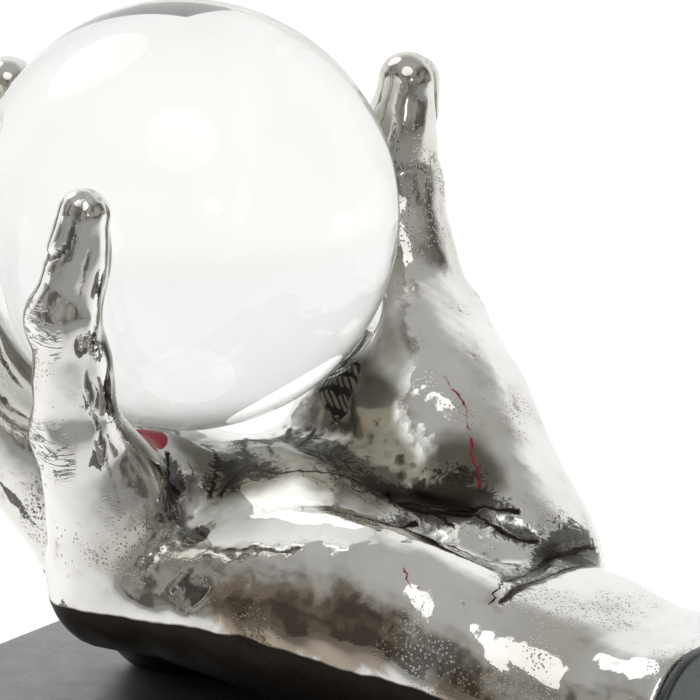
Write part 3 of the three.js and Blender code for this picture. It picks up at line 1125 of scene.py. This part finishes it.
class CRYSTALHAND_OT_end_cap(CrystalHandOperator, bpy.types.Operator):
    """Makes the plate that closes the wrist"""

    bl_idname = "crystal_hand.end_cap"
    bl_label = "Wrist end cap"

    def make(self, size, look, stage):
        low, high = (np.array(corner - BALL_CENTRE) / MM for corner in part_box("wrist_end_cap"))
        cap, _ = field_mesh("wrist_end_cap_plate", end_cap_field, low - 2, high + 2, CAP_STEP)
        place(cap, blackened_metal(look), "stand", "blackened_plate", "wrist_end_cap")


class CRYSTALHAND_OT_plinth(CrystalHandOperator, bpy.types.Operator):
    """Makes the stone plinth with its counterbored holes"""

    bl_idname = "crystal_hand.plinth"
    bl_label = "Plinth"

    def make(self, size, look, stage):
        bpy.ops.mesh.primitive_cube_add(size=1, location=PLINTH_MIDDLE)
        slab = bpy.context.object
        slab.name = "plinth_slab_honed"
        slab.dimensions = PLINTH_HIGH - PLINTH_LOW
        settle(slab)
        apply_modifier(slab, "BEVEL", width=size.plinth_bevel, segments=5, limit_method="ANGLE")
        for name in ("stud_palm", "stud_wrist"):
            low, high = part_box(name)
            middle = (low + high) / 2
            for radius, top in (
                (size.stud_hole, PLINTH_HIGH.z + OVERRUN),
                (size.counterbore, PLINTH_LOW.z + size.counterbore_depth),
            ):
                cut(slab, cylinder(HOLE_SIDES, radius, middle, PLINTH_LOW.z - OVERRUN, top))
        settle(slab, 30)
        place(slab, honed_stone(look), "stand", "black_stone", "plinth_slab")


class CRYSTALHAND_OT_feet(CrystalHandOperator, bpy.types.Operator):
    """Makes the four felt feet"""

    bl_idname = "crystal_hand.feet"
    bl_label = "Felt feet"

    def make(self, size, look, stage):
        felt = black_felt(look)
        for number in range(1, 5):
            low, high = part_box(f"foot_{number}")
            foot = cylinder(FOOT_SIDES, (high.x - low.x) / 2, (low + high) / 2, low.z, high.z)
            foot.name = f"foot_{number}_felt"
            bpy.ops.object.mode_set(mode="EDIT")
            bpy.ops.mesh.select_mode(type="FACE")
            bpy.ops.mesh.select_all(action="DESELECT")
            bpy.ops.object.mode_set(mode="OBJECT")
            for face in foot.data.polygons:
                face.select = abs(face.normal.z) > 0.9
            bpy.ops.object.mode_set(mode="EDIT")
            for share in (size.foot_edge, (high.x - low.x) / 6, (high.x - low.x) / 6):
                bpy.ops.mesh.inset(thickness=share)
            bpy.ops.object.mode_set(mode="OBJECT")
            apply_modifier(foot, "BEVEL", width=size.foot_edge, segments=4, limit_method="ANGLE")
            settle(foot, 50)
            place(foot, felt, "stand", "felt", f"foot_{number}")


class CRYSTALHAND_OT_bumpers(CrystalHandOperator, bpy.types.Operator):
    """Finishes the clear pads that the ball rests on"""

    bl_idname = "crystal_hand.bumpers"
    bl_label = "Rest pads"

    def make(self, size, look, stage):
        rubber = clear_bumper(look)
        for name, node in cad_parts.items():
            if name.startswith("rest_pad"):
                dress(node, rubber)


class CRYSTALHAND_OT_fixings(CrystalHandOperator, bpy.types.Operator):
    """Finishes the studs, washers and nuts"""

    bl_idname = "crystal_hand.fixings"
    bl_label = "Studs and nuts"

    def make(self, size, look, stage):
        zinc = zinc_steel(look)
        for name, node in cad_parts.items():
            if name.split("_")[0] in ("stud", "washer", "lock", "nut"):
                dress(node, zinc)


SENSOR_WIDTH = 36
NEAREST_VIEW = 0.01
FLOOR_WIDTH = 12
# Round softboxes: name, place from the ball's centre, width and brightness.
LAMPS = (
    ("softbox_front", (0.42, -0.62, 0.98), 0.80, 0.85),
    ("softbox_left", (-0.82, 0.12, 0.95), 0.80, 0.90),
    ("softbox_low", (1.13, -0.89, 0.42), 0.22, 1.3),
)


def softbox(name, offset, width, radiance):
    """A round lamp that faces the ball and looks equally bright at any width."""
    lamp = bpy.data.lights.new(name, "AREA")
    lamp.shape = "DISK"
    lamp.size = width
    lamp.energy = radiance * math.pi * (math.pi / 4) * width * width
    holder = bpy.data.objects.new(name, lamp)
    holder.location = BALL_CENTRE + Vector(offset)
    holder.rotation_euler = (-Vector(offset)).to_track_quat("-Z", "Y").to_euler()
    bpy.context.scene.collection.objects.link(holder)


def studio_room(stage):
    """White behind the object, where the paper climbs, a grey ceiling and a dim room in front."""
    g = Graph("studio_room", "worlds", "Generated")
    back = g.dot(g.place, behind(stage))
    height = g.dot(g.place, (0, 0, 1))
    dim = g.mix(g.noise(2.4, 2, 0.5).ramp(0.38, 0.62), stage.room_dark, stage.room_grey)
    sky = g.mix(back.ramp(0.10, 0.50), dim, stage.paper)
    sky = g.mix(height.ramp(0.58, 0.92), sky, stage.ceiling)
    shader = g.node("ShaderNodeBackground", {}, {"Color": sky, "Strength": stage.sky})
    g.node("ShaderNodeOutputWorld", {}, {"Surface": shader}, output=None)
    return g.owner


class CRYSTALHAND_OT_stage(CrystalHandOperator, bpy.types.Operator):
    """Makes the floor, the lamps and the camera"""

    bl_idname = "crystal_hand.stage"
    bl_label = "Studio"

    def make(self, size, look, stage):
        scene = bpy.context.scene
        scene.view_settings.view_transform = "Standard"
        bpy.ops.mesh.primitive_plane_add(size=FLOOR_WIDTH)
        floor = bpy.context.object
        floor.name = "studio_floor"
        floor.data.materials.append(studio_floor_painted_light(look, stage))

        scene.world = studio_room(stage)
        for lamp in LAMPS:
            softbox(*lamp)

        toward = Vector((
            math.sin(stage.azimuth) * math.cos(stage.elevation),
            -math.cos(stage.azimuth) * math.cos(stage.elevation),
            math.sin(stage.elevation),
        ))
        right = Vector((math.cos(stage.azimuth), math.sin(stage.azimuth), 0))
        up = toward.cross(right)
        aim = BALL_CENTRE + right * stage.aim_right - up * stage.aim_down
        camera = bpy.data.cameras.new("camera")
        camera.lens = stage.lens
        camera.sensor_width = SENSOR_WIDTH
        camera.clip_start = NEAREST_VIEW
        holder = bpy.data.objects.new("camera", camera)
        holder.location = aim + toward * stage.distance
        holder.rotation_euler = toward.to_track_quat("Z", "Y").to_euler()
        scene.collection.objects.link(holder)
        scene.camera = holder


PARTS = (
    CRYSTALHAND_OT_ball,
    CRYSTALHAND_OT_hand,
    CRYSTALHAND_OT_end_cap,
    CRYSTALHAND_OT_plinth,
    CRYSTALHAND_OT_feet,
    CRYSTALHAND_OT_bumpers,
    CRYSTALHAND_OT_fixings,
    CRYSTALHAND_OT_stage,
)


class CRYSTALHAND_PT_panel(bpy.types.Panel):
    """Lists the pieces of the crystal ball and its hand"""

    bl_label = "Crystal Hand"
    bl_idname = "CRYSTALHAND_PT_panel"
    bl_space_type = "VIEW_3D"
    bl_region_type = "UI"
    bl_category = "Crystal Hand"

    def draw(self, context):
        for operator in PARTS:
            self.layout.operator(operator.bl_idname)


CLASSES = (CrystalHandSizes, CrystalHandLooks, CrystalHandStage, *PARTS, CRYSTALHAND_PT_panel)


def register():
    for item in CLASSES:
        bpy.utils.register_class(item)
    bpy.types.Scene.crystal_hand_sizes = bpy.props.PointerProperty(type=CrystalHandSizes)
    bpy.types.Scene.crystal_hand_looks = bpy.props.PointerProperty(type=CrystalHandLooks)
    bpy.types.Scene.crystal_hand_stage = bpy.props.PointerProperty(type=CrystalHandStage)


def unregister():
    del bpy.types.Scene.crystal_hand_stage
    del bpy.types.Scene.crystal_hand_looks
    del bpy.types.Scene.crystal_hand_sizes
    for item in reversed(CLASSES):
        bpy.utils.unregister_class(item)


def main():
    register()
    bpy.ops.crystal_hand.ball()
    bpy.ops.crystal_hand.hand()
    bpy.ops.crystal_hand.end_cap()
    bpy.ops.crystal_hand.plinth()
    bpy.ops.crystal_hand.feet()
    bpy.ops.crystal_hand.bumpers()
    bpy.ops.crystal_hand.fixings()
    bpy.ops.crystal_hand.stage()


if __name__ == "__main__":
    main()
